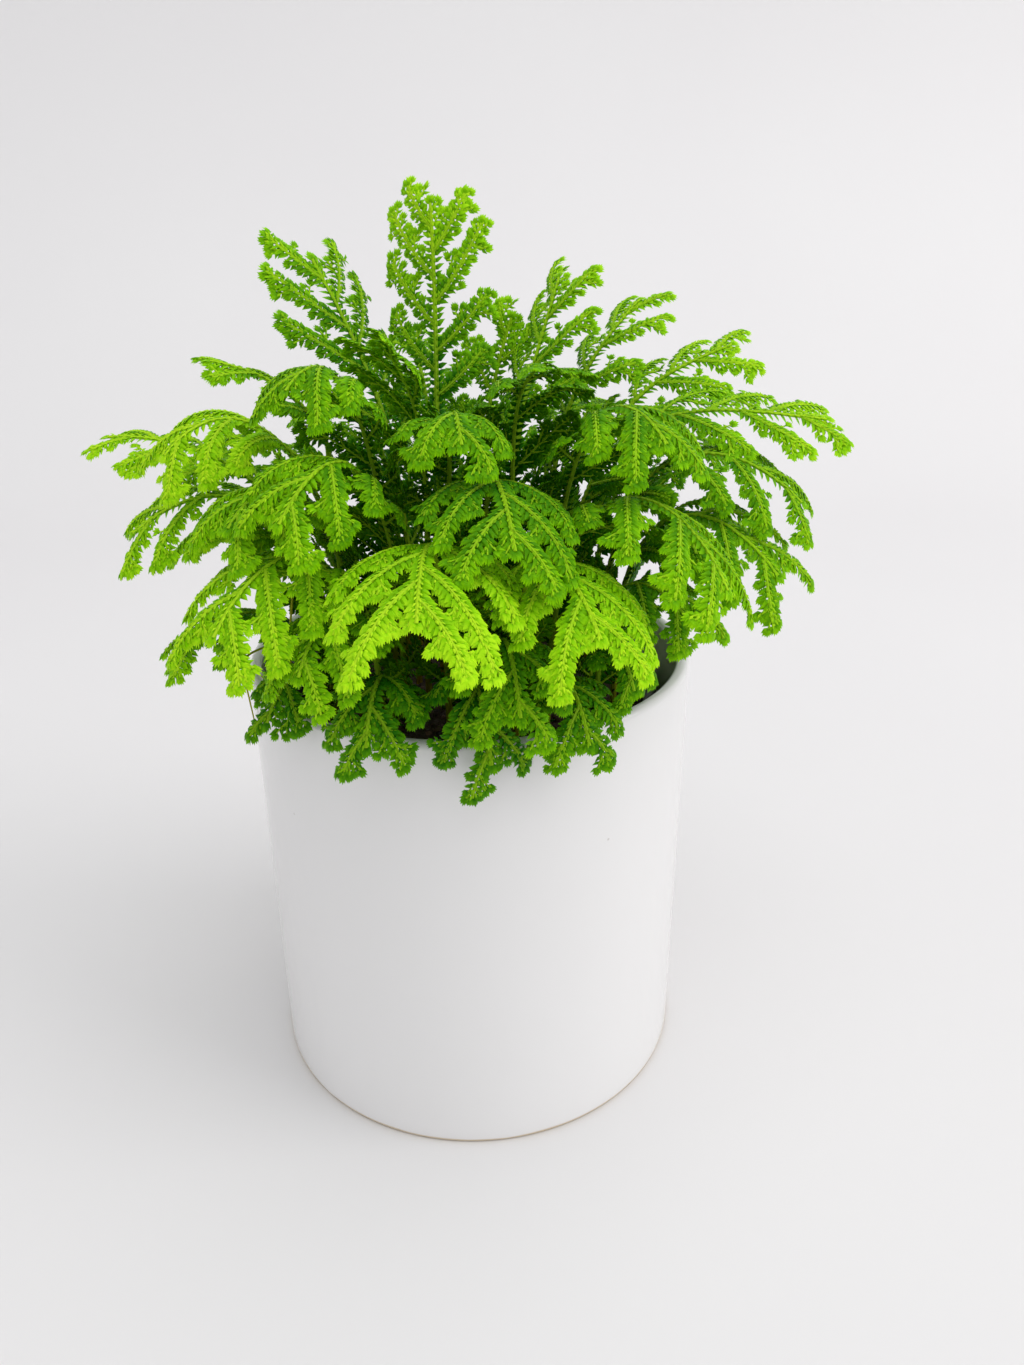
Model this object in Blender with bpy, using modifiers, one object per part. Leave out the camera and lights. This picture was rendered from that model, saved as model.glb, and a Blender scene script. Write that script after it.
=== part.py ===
"""A spikemoss in a white glazed pot, at real size in metres, +Z up, origin at the middle of the pot's foot.

The pot holds a black nursery pot, that holds the soil, and each frond stands in a hole of its own in the soil.
A frond is a slim stem that arches outwards and ends in a flat, feathered spray, cut from one thin arched blade.
"""

import math
import random

import bmesh
import bpy
from mathutils import Vector, geometry

MM = 0.001
CLEARANCE = 0.3 * MM

# The glazed pot, a straight cylinder
POT_RADIUS = 60 * MM
POT_HEIGHT = 123 * MM
POT_WALL = 3.6 * MM
POT_FLOOR = 8 * MM
POT_LIP_ROUND = 1.8 * MM
POT_FOOT_ROUND = 1.0 * MM
POT_SEGMENTS = 40

# The nursery pot inside it, a thin tapered cup with a narrow collar
NURSERY_TOP_RADIUS = 50 * MM
NURSERY_FOOT_RADIUS = 40 * MM
NURSERY_WALL = 1.2 * MM
NURSERY_COLLAR = 1.5 * MM
NURSERY_COLLAR_HEIGHT = 4 * MM
NURSERY_TOP = 113 * MM
NURSERY_SEGMENTS = 24

# The soil, a plug with a low mound on top
SOIL_RIM_HEIGHT = 106.5 * MM
SOIL_MOUND = 3.0 * MM

# A frond's stem
STEM_RADIUS = 1.0 * MM
STEM_TIP_RADIUS = 0.75 * MM
STEM_FOOT = 97 * MM
STEM_BEND = 111 * MM
STEM_STRETCHES = 4
STEM_INTO_SPRAY = 5 * MM
HOLE_CLEARANCE = 0.35 * MM

# A frond's spray, laid flat: its lengths are in millimetres
BLADE_THICKNESS = 0.6 * MM
RIB_HALF_WIDTH = 1.2
LOBE_HALF_WIDTH = 2.2
BRANCH_ANGLE = math.radians(58)
BRANCH_ANGLE_AT_TIP = math.radians(36)
BRANCH_CURL = math.radians(18)
LOBE_ANGLE = math.radians(40)
LOBE_LENGTH = 8
LONGEST_EDGE = 11

# Each frond: where its stem leaves the soil (x, y), where its spray ends (x, y, z) and how that end is pitched, how
# far the stem rises before it arches and how far back the arch reaches from the tip, the spray's length and half
# width, the turn of its blade about its rib, the droop of its sides, the bend of its rib and how many branches it
# has. Lengths are in millimetres and angles in degrees. The front of the plant is towards -Y.
FRONDS = {
    # name: (root x, root y, tip x, tip y, tip z, pitch, rise, reach, spray, half width, roll, droop, bend, branches)
    "frond_crown": (-8, 9, -5, 20, 234, 82, 62, 40, 56, 17, 0, 10, 4, 9),
    "frond_crown_side": (3, 14, 6, 34, 206, 76, 50, 30, 54, 13, -10, 8, -17, 7),
    "frond_fan_left": (-15, 6, -36, 24, 221, 61, 61, 34, 54, 21, -2, 25, 8, 8),
    "frond_starburst": (-20, -8, -38, -34, 196, -40, 72, 22, 50, 20, 0, 45, 0, 8),
    "frond_small_left": (-31, 11, -64, 8, 197, 12, 66, 26, 36, 11, -10, 20, 0, 5),
    "frond_bright_left": (-32, -3, -70, -22, 181, -44, 68, 26, 51, 19, -12, 35, 6, 8),
    "frond_far_left": (-38, 4, -92, 5, 178, -4, 47, 34, 52, 15, -15, 23, -6, 7),
    "frond_left": (-37, -13, -76, -28, 160, -44, 57, 28, 51, 20, -16, 18, -16, 8),
    "frond_broad_left": (-27, -24, -55, -62, 151, -43, 59, 25, 61, 24, -1, 37, 5, 9),
    "frond_rim_left": (-43, -6, -70, -28, 134, -28, 26, 22, 38, 16, 0, 25, 0, 6),
    "frond_rim_front_left": (-36, -26, -47, -49, 124, -52, 24, 14, 26, 11, 0, 20, 0, 4),
    "frond_rim_front_1": (-19, -39, -23, -66, 126, -60, 28, 16, 34, 14, 0, 25, 0, 6),
    "frond_rim_front_2": (-2, -41, 3, -66, 121, -69, 32, 20, 38, 14, 0, 26, 2, 6),
    "frond_rim_front_3": (18, -40, 25, -66, 125, -60, 26, 16, 34, 13, 0, 26, 0, 6),
    "frond_rim_front_right": (31, -31, 36, -54, 132, -53, 24, 16, 27, 9, 1, 22, 2, 4),
    "frond_bright_front": (-6, -24, -12, -85, 161, -27, 54, 33, 59, 26, 1, 31, 4, 9),
    "frond_bright_front_right": (11, -28, 25, -80, 155, -34, 58, 24, 58, 22, -2, 39, 0, 9),
    "frond_blue_front": (3, -13, 9, -70, 170, -34, 65, 33, 62, 22, -5, 31, 0, 9),
    "frond_broad_right": (20, -18, 55, -63, 159, -52, 69, 30, 64, 22, -16, 41, -7, 9),
    "frond_tip_right": (38, -15, 75, -36, 155, -40, 60, 28, 53, 20, 16, 32, -12, 8),
    "frond_far_right": (25, -3, 89, -12, 182, -9, 83, 39, 69, 19, 22, 8, 6, 9),
    "frond_high_right": (29, 9, 71, 22, 199, 20, 73, 28, 52, 17, 19, 30, -5, 8),
    "frond_back_right_1": (11, 4, 30, 21, 216, 57, 71, 32, 56, 17, -2, 20, 11, 8),
    "frond_back_right_2": (20, 17, 50, 40, 208, 34, 66, 28, 48, 16, 0, 20, 0, 7),
    "frond_forked": (12, -8, 19, -28, 200, 17, 70, 27, 55, 19, -1, 35, -1, 8),
    "frond_middle": (-5, -6, -2, -50, 187, -40, 69, 22, 57, 18, -4, 42, 2, 8),
    "frond_middle_back": (-12, -2, -20, -10, 203, 46, 58, 24, 52, 16, 0, 20, 0, 8),
    "frond_mid_left": (-17, -20, -36, -56, 172, -47, 66, 30, 55, 20, -15, 31, -6, 8),
    "frond_mid_right": (22, -8, 42, -48, 186, -38, 76, 24, 58, 20, 0, 40, 0, 8),
    "frond_right": (34, -6, 76, -30, 166, -47, 70, 29, 56, 20, 16, 32, 12, 8),
    "frond_inner_left": (-22, -31, -36, -64, 142, -55, 43, 18, 42, 17, 0, 35, 0, 7),
    "frond_inner_front": (6, -36, 10, -70, 134, -55, 38, 18, 40, 16, 0, 30, 0, 6),
    "frond_back_1": (20, 28, 44, 62, 176, -24, 60, 28, 52, 20, 0, 35, 0, 8),
    "frond_back_2": (2, 31, 2, 74, 174, -24, 58, 28, 52, 20, 0, 35, 0, 8),
    "frond_back_3": (-19, 26, -42, 62, 178, -22, 60, 28, 53, 20, 0, 35, 3, 8),
    "frond_back_4": (-33, 21, -73, 42, 170, -22, 54, 28, 50, 18, 0, 30, 0, 7),
    "frond_back_5": (35, 20, 77, 44, 166, -26, 54, 28, 50, 18, 0, 30, 0, 7),
    "frond_back_low_1": (13, 41, 26, 77, 140, -46, 40, 24, 42, 17, 0, 30, 0, 6),
    "frond_back_low_2": (-16, 40, -30, 77, 140, -46, 40, 24, 42, 17, 0, 30, 0, 6),
    "frond_back_low_3": (42, 8, 82, 14, 146, -40, 40, 26, 44, 17, 0, 30, 0, 6),
    "frond_back_low_4": (-43, 12, -80, 26, 146, -40, 40, 26, 44, 17, 0, 30, 0, 6),
    "frond_back_high": (-8, 22, -18, 51, 200, 11, 68, 23, 50, 17, -8, 25, -2, 7),
    "frond_inner_right": (30, -23, 51, -48, 147, -35, 35, 21, 46, 16, 5, 25, -7, 7),
    "frond_inner_back_left": (-30, -10, -52, -45, 169, -41, 60, 20, 47, 18, -3, 30, 2, 7),
}


def along(start, heading, curl, length, t):
    """The point and the heading at the fraction t of an arc that leaves start at a heading and turns by curl."""
    if abs(curl) < 1e-6:
        return start + Vector((math.cos(heading), math.sin(heading))) * length * t, heading
    radius = length / curl
    turned = heading + curl * t
    shift = Vector((math.sin(turned) - math.sin(heading), math.cos(heading) - math.cos(turned)))
    return start + shift * radius, turned


def grow_spray(name, spray, half_width, bend, branches):
    """The ribs of one spray laid flat: each is (start, heading, curl, length, half width, [(t, side, rib), ...])."""
    draw = random.Random(name)
    side = draw.choice((-1, 1))
    spacing = 2 * 0.84 * spray / (branches - 1)
    pinnae = []
    for i in range(branches):
        t = 0.06 + 0.84 * i / (branches - 1) + draw.uniform(-0.015, 0.015)
        start, heading = along(Vector((0, 0)), 0, math.radians(bend), spray, t)
        angle = BRANCH_ANGLE + (BRANCH_ANGLE_AT_TIP - BRANCH_ANGLE) * t + draw.uniform(-0.07, 0.07)
        shape = (1 - 0.4 * (1 - t) ** 3) * (1 - 0.8 * t**3) ** 0.9
        length = half_width / math.sin(angle) * shape * draw.uniform(0.94, 1.06)
        count = 0 if length < 8 else 1 if length < 13 else 2
        room = (0.5 * spacing * math.sin(angle) - 0.9) / math.sin(LOBE_ANGLE)
        lobes = []
        lobe_side = side
        for j in range(count):
            lobe_t = 0.5 if count == 1 else 0.4 + 0.26 * j
            lobe_length = max(3.4, min(LOBE_LENGTH, room, 0.62 * length)) * (1 - 0.15 * j) * draw.uniform(0.9, 1.05)
            lobe_start, lobe_heading = along(start, heading + side * angle, -side * BRANCH_CURL, length, lobe_t)
            lobe_heading -= lobe_side * (LOBE_ANGLE + draw.uniform(-0.08, 0.08))
            lobe = (lobe_start, lobe_heading, lobe_side * 0.25, lobe_length, LOBE_HALF_WIDTH, [])
            lobes.append((lobe_t, -lobe_side, lobe))
            lobe_side = -lobe_side
        pinna = (start, heading + side * angle, -side * BRANCH_CURL, length, LOBE_HALF_WIDTH, lobes)
        pinnae.append((t, side, pinna))
        side = -side
    return (Vector((0, 0)), 0, math.radians(bend), spray, LOBE_HALF_WIDTH, pinnae)


def rib_outline(rib, is_main=False):
    """Walks round a rib: up its left side, round its blunt tip and down its right side, with its side ribs' own."""
    start, heading, curl, length, width, children = rib

    def edge(t, side, out):
        point, turned = along(start, heading, curl, length, t)
        return point + Vector((-math.sin(turned), math.cos(turned))) * side * out

    points = []
    for side in (1, -1):
        own = [child for child in children if child[1] == side]
        own.sort(key=lambda child: side * child[0])
        if side == -1 and is_main:
            points.append(edge(1 - 0.9 * width / length, 1, 0.85 * width))
            points.append(edge(1, 1, 0))
            points.append(edge(1 - 0.9 * width / length, -1, 0.85 * width))
        elif side == -1:
            points.append(edge(1 - 0.35 * width / length, 1, 0.8 * width))
            points.append(edge(1, -1, 0.45 * width))
        for place, child in enumerate(own):
            if place:
                between = (own[place - 1][0] + child[0]) / 2 + 0.03
                points.append(edge(between, side, RIB_HALF_WIDTH))
            points += rib_outline(child[2])
    return points


def split_long_edges(outline):
    """Adds the middle of each long edge, so that the edge can follow the arched surface."""
    points = []
    for point, after in zip(outline, outline[1:] + outline[:1]):
        points.append(point)
        if (after - point).length > LONGEST_EDGE:
            points.append((point + after) / 2)
    return points


def frond_frame(row):
    """The frond's centreline as points and tangents at even steps of length, with the blade's sideways direction."""
    root_x, root_y, tip_x, tip_y, tip_z, pitch, rise, reach = row[:8]
    pitch = math.radians(pitch)
    heading = math.atan2(tip_y - root_y, tip_x - root_x)
    outward = Vector((math.cos(heading), math.sin(heading), 0))
    aim = outward * math.cos(pitch) + Vector((0, 0, math.sin(pitch)))
    root = Vector((root_x, root_y, STEM_BEND / MM))
    tip = Vector((tip_x, tip_y, tip_z))
    knots = geometry.interpolate_bezier(root, root + Vector((0, 0, rise)), tip - aim * reach, tip, 65)
    lengths = [0]
    for a, b in zip(knots, knots[1:]):
        lengths.append(lengths[-1] + (b - a).length)
    sideways = Vector((-outward.y, outward.x, 0))
    return knots, lengths, aim, sideways


def frond_surface(row):
    """The map from the flat spray (u along its rib, v across it, both in mm) to space, and the blade's normal there."""
    knots, lengths, aim, sideways = frond_frame(row)
    spray, roll, droop, half_width = row[8], math.radians(row[10]), math.radians(row[11]), row[9]
    curve = droop / half_width
    begin = lengths[-1] - spray

    def centre(s):
        if s >= lengths[-1]:
            return knots[-1] + aim * (s - lengths[-1]), aim
        i = max(1, next(k for k, length in enumerate(lengths) if length > s))
        span = lengths[i] - lengths[i - 1]
        before = knots[max(i - 2, 0)]
        after = knots[min(i + 1, len(knots) - 1)]
        point = knots[i - 1].lerp(knots[i], (s - lengths[i - 1]) / span)
        return point, (after - before).normalized()

    def to_space(u, v):
        point, tangent = centre(begin + u)
        upper = tangent.cross(sideways)
        across = sideways * math.cos(roll) + upper * math.sin(roll)
        upper = tangent.cross(across)
        turn = curve * v
        point = point + across * (math.sin(turn) / curve) - upper * ((1 - math.cos(turn)) / curve)
        return point, upper * math.cos(turn) + across * math.sin(turn)

    return to_space, centre, begin


def flat_blade(name, row):
    """One spray laid flat, as a triangulated outline with points along its main rib, in millimetres."""
    spray, half_width, bend, branches = row[8], row[9], row[12], row[13]
    ribs = grow_spray(name, spray, half_width, bend, branches)
    base = [Vector((-1.5, -0.7 * RIB_HALF_WIDTH)), Vector((-1.5, 0.7 * RIB_HALF_WIDTH))]
    outline = split_long_edges(base + rib_outline(ribs, is_main=True))
    spine = [along(ribs[0], ribs[1], ribs[2], ribs[3], t)[0] for t in (0.0, 0.25, 0.5, 0.75)]
    count = len(outline)
    edges = [(count + i, count + i + 1) for i in range(len(spine) - 1)]
    flat = geometry.delaunay_2d_cdt(outline + spine, edges, [list(range(count))], 1, 0.02)
    return [(point.x, point.y, 0) for point in flat[0]], flat[2]


def stem_line(row):
    """The stem's points and radii: it stands upright in its hole, arches out, and runs a little way into the spray."""
    centre, begin = frond_surface(row)[1:]
    end = begin + STEM_INTO_SPRAY / MM
    line = [(Vector((row[0] * MM, row[1] * MM, STEM_FOOT)), STEM_RADIUS)]
    for i in range(STEM_STRETCHES):
        t = i / (STEM_STRETCHES - 1)
        line.append((centre(end * t)[0] * MM, STEM_RADIUS + (STEM_TIP_RADIUS - STEM_RADIUS) * t))
    return line


def add_blade(name, row):
    """The spray's blade: the flat outline gets its thickness, and is then bent onto the arched surface."""
    verts, faces = flat_blade(name, row)
    mesh = bpy.data.meshes.new(name)
    mesh.from_pydata(verts, [], faces)
    blade = bpy.data.objects.new(name, mesh)
    bpy.context.scene.collection.objects.link(blade)
    thick = blade.modifiers.new("thickness", "SOLIDIFY")
    thick.thickness = BLADE_THICKNESS / MM
    thick.offset = 0
    seen = bpy.context.evaluated_depsgraph_get()
    bent = bpy.data.meshes.new_from_object(blade.evaluated_get(seen))
    to_space = frond_surface(row)[0]
    for vert in bent.vertices:
        place, upwards = to_space(vert.co.x, vert.co.y)
        vert.co = (place + upwards * vert.co.z) * MM
    blade.modifiers.clear()
    blade.data = bent
    return blade


def add_stem(name, row):
    """The stem as a six-sided tube along its line, turned into a closed mesh."""
    curve = bpy.data.curves.new(name, "CURVE")
    curve.dimensions = "3D"
    curve.bevel_depth = STEM_RADIUS
    curve.bevel_resolution = 1
    curve.use_fill_caps = True
    line = stem_line(row)
    spline = curve.splines.new("POLY")
    spline.points.add(len(line) - 1)
    for knot, (place, radius) in zip(spline.points, line):
        knot.co = (*place, 1)
        knot.radius = radius / STEM_RADIUS
    drawn = bpy.data.objects.new(f"{name}_curve", curve)
    bpy.context.scene.collection.objects.link(drawn)
    seen = bpy.context.evaluated_depsgraph_get()
    mesh = bpy.data.meshes.new_from_object(drawn.evaluated_get(seen))
    shape = bmesh.new()
    shape.from_mesh(mesh)
    bmesh.ops.remove_doubles(shape, verts=shape.verts, dist=1e-6)
    shape.to_mesh(mesh)
    shape.free()
    stem = bpy.data.objects.new(name, mesh)
    bpy.context.scene.collection.objects.link(stem)
    stem.matrix_world = drawn.matrix_world
    bpy.data.objects.remove(drawn)
    return stem


def add_turned(name, profile, segments):
    """A body turned about the Z axis from a profile of (radius, height) points, by a Screw modifier."""
    mesh = bpy.data.meshes.new(name)
    edges = [(i, i + 1) for i in range(len(profile) - 1)]
    mesh.from_pydata([(radius, 0, height) for radius, height in profile], edges, [])
    turned = bpy.data.objects.new(name, mesh)
    bpy.context.scene.collection.objects.link(turned)
    screw = turned.modifiers.new("turn", "SCREW")
    screw.axis = "Z"
    screw.angle = 2 * math.pi
    screw.steps = segments
    screw.render_steps = segments
    screw.use_merge_vertices = True
    screw.merge_threshold = 0.00001
    return turned


def arc(middle, radius, begin, end, steps):
    """Points of a circle's arc in the profile's plane, from one angle to another in degrees."""
    points = []
    for i in range(steps + 1):
        angle = math.radians(begin + (end - begin) * i / steps)
        points.append((middle[0] + radius * math.cos(angle), middle[1] + radius * math.sin(angle)))
    return points


def pot_profile():
    """The pot from the middle of its floor, up inside, over the rounded lip and down to its flat foot."""
    inner = POT_RADIUS - POT_WALL
    profile = [(0, POT_FLOOR), (inner - 2 * MM, POT_FLOOR), (inner, POT_FLOOR + 2 * MM)]
    profile += arc((POT_RADIUS - POT_LIP_ROUND, POT_HEIGHT - POT_LIP_ROUND), POT_LIP_ROUND, 180, 0, 6)
    profile += arc((POT_RADIUS - POT_FOOT_ROUND, POT_FOOT_ROUND), POT_FOOT_ROUND, 0, -90, 2)
    return profile + [(0, 0)]


def nursery_radius(height):
    """The nursery pot's outer radius at a height."""
    foot = POT_FLOOR + CLEARANCE
    t = (height - foot) / (NURSERY_TOP - foot)
    return NURSERY_FOOT_RADIUS + (NURSERY_TOP_RADIUS - NURSERY_FOOT_RADIUS) * t


def nursery_profile():
    """The nursery pot from the middle of its floor, up inside, over its collar and down to its foot."""
    foot = POT_FLOOR + CLEARANCE
    floor = foot + NURSERY_WALL
    under = NURSERY_TOP - NURSERY_COLLAR_HEIGHT
    collar = NURSERY_TOP_RADIUS + NURSERY_COLLAR
    return [
        (0, floor),
        (nursery_radius(floor) - NURSERY_WALL, floor),
        (NURSERY_TOP_RADIUS - NURSERY_WALL, NURSERY_TOP),
        (collar - 0.6 * MM, NURSERY_TOP),
        (collar, NURSERY_TOP - 0.6 * MM),
        (collar, under),
        (nursery_radius(under), under),
        (NURSERY_FOOT_RADIUS, foot),
        (0, foot),
    ]


def soil_radius(height):
    return nursery_radius(height) - NURSERY_WALL - CLEARANCE


def soil_profile():
    """The soil from the top of its mound out to the nursery pot's wall and down to its floor."""
    bottom = POT_FLOOR + CLEARANCE + NURSERY_WALL + CLEARANCE
    rim = soil_radius(SOIL_RIM_HEIGHT)
    profile = [(0, SOIL_RIM_HEIGHT + SOIL_MOUND)]
    for part in (0.4, 0.75):
        profile.append((rim * part, SOIL_RIM_HEIGHT + SOIL_MOUND * (1 - part**2)))
    return profile + [(rim, SOIL_RIM_HEIGHT), (soil_radius(bottom), bottom), (0, bottom)]


def add_hole(name, row):
    """A square pit for one stem's foot, from under the foot to above the soil."""
    shape = bmesh.new()
    bmesh.ops.create_cube(shape, size=1)
    low = STEM_FOOT - CLEARANCE
    high = STEM_BEND + 5 * MM
    side = 2 * (STEM_RADIUS + HOLE_CLEARANCE)
    bmesh.ops.scale(shape, verts=shape.verts, vec=(side, side, high - low))
    bmesh.ops.translate(shape, verts=shape.verts, vec=(row[0] * MM, row[1] * MM, (high + low) / 2))
    mesh = bpy.data.meshes.new(name)
    shape.to_mesh(mesh)
    shape.free()
    pit = bpy.data.objects.new(name, mesh)
    bpy.context.scene.collection.objects.link(pit)
    return pit


def clear_scene():
    for old in list(bpy.data.objects):
        bpy.data.objects.remove(old)


def material(name, colour, roughness):
    made = bpy.data.materials.new(name)
    made.use_nodes = True
    shader = made.node_tree.nodes["Principled BSDF"]
    shader.inputs["Base Color"].default_value = (*colour, 1)
    shader.inputs["Roughness"].default_value = roughness
    shader.inputs["Metallic"].default_value = 0
    return made


def put(made, collection, look):
    for old in list(made.users_collection):
        old.objects.unlink(made)
    collection.objects.link(made)
    made.data.materials.clear()
    made.data.materials.append(look)


def combine(body, operation, others):
    """Joins the other solids to a body, or cuts them from it, and removes them."""
    tools = bpy.data.collections.new(f"{body.name}_tools")
    for other in others:
        for old in list(other.users_collection):
            old.objects.unlink(other)
        tools.objects.link(other)
    cut = body.modifiers.new("combine", "BOOLEAN")
    cut.operation = operation
    cut.operand_type = "COLLECTION"
    cut.collection = tools
    cut.solver = "EXACT"
    seen = bpy.context.evaluated_depsgraph_get()
    made = bpy.data.meshes.new_from_object(body.evaluated_get(seen))
    body.modifiers.clear()
    body.data = made
    for other in others:
        bpy.data.objects.remove(other)
    bpy.data.collections.remove(tools)


def build():
    clear_scene()
    plant = bpy.data.collections.new("spikemoss")
    bpy.context.scene.collection.children.link(plant)
    glaze = material("white glaze", (0.80, 0.80, 0.79), 0.18)
    plastic = material("black nursery plastic", (0.02, 0.02, 0.022), 0.6)
    earth = material("dark potting soil", (0.035, 0.024, 0.017), 0.95)
    leaf = material("spikemoss leaf", (0.13, 0.42, 0.03), 0.45)

    pot = add_turned("pot", pot_profile(), POT_SEGMENTS)
    put(pot, plant, glaze)
    nursery = add_turned("nursery_pot", nursery_profile(), NURSERY_SEGMENTS)
    put(nursery, plant, plastic)
    soil = add_turned("soil", soil_profile(), NURSERY_SEGMENTS)
    combine(soil, "DIFFERENCE", [add_hole(f"{name}_hole", row) for name, row in FRONDS.items()])
    put(soil, plant, earth)
    for name, row in FRONDS.items():
        frond = add_blade(name, row)
        combine(frond, "UNION", [add_stem(f"{name}_stem", row)])
        put(frond, plant, leaf)


build()
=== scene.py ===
# %% [markdown]
# # A spikemoss in a white pot
#
# A glazed cylinder pot holds a black nursery pot, which holds dark soil, and forty-odd fronds stand in it. Each frond
# is a slim stem that arches out and ends in a flat spray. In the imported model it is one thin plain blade. This lesson
# grows the real surface on the same curves: round ribs, with two rows of flat side leaves and two of small pale middle
# leaves along each. Foliage can be made by scattering copies of one leaf. Here every leaf follows its own rib, so all
# are worked out as whole numpy arrays, and each frond ends as one real mesh.

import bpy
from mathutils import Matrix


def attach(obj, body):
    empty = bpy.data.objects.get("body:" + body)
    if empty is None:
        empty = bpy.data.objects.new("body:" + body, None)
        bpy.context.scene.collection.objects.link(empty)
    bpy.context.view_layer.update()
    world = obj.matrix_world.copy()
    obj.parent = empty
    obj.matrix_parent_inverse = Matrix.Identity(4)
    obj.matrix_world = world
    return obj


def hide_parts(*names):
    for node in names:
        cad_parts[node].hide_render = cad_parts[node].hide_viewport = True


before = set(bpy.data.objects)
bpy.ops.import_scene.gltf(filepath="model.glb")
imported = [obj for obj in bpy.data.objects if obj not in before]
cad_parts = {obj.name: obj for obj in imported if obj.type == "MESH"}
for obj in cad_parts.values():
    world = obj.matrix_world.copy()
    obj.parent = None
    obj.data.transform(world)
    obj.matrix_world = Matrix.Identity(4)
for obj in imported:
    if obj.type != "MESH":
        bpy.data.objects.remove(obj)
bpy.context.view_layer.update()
print("nodes in the frame:", len(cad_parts))

# %% Libraries and units
import math
import random

import bpy
import numpy as np
from mathutils import Matrix, Vector

MM = 0.001


def unit(rows):
    """Directions of length 1: each row over its own length."""
    return rows / np.linalg.norm(rows, axis=1)[:, None]


print("one millimetre is", MM, "metres")

# %% [markdown]
# ## The fronds' layout
#
# The plant is a loose rosette: tall fronds in the middle and at the back, arching ones all round, and short ones over
# the rim. Each row says where a stem leaves the soil, where its spray ends, how that end is pitched, how the arch
# rises and reaches, the spray's length and half width, the blade's roll, droop and bend, and how many branches it has.
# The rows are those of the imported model, so that every leafy frond covers its own plain one.

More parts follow.
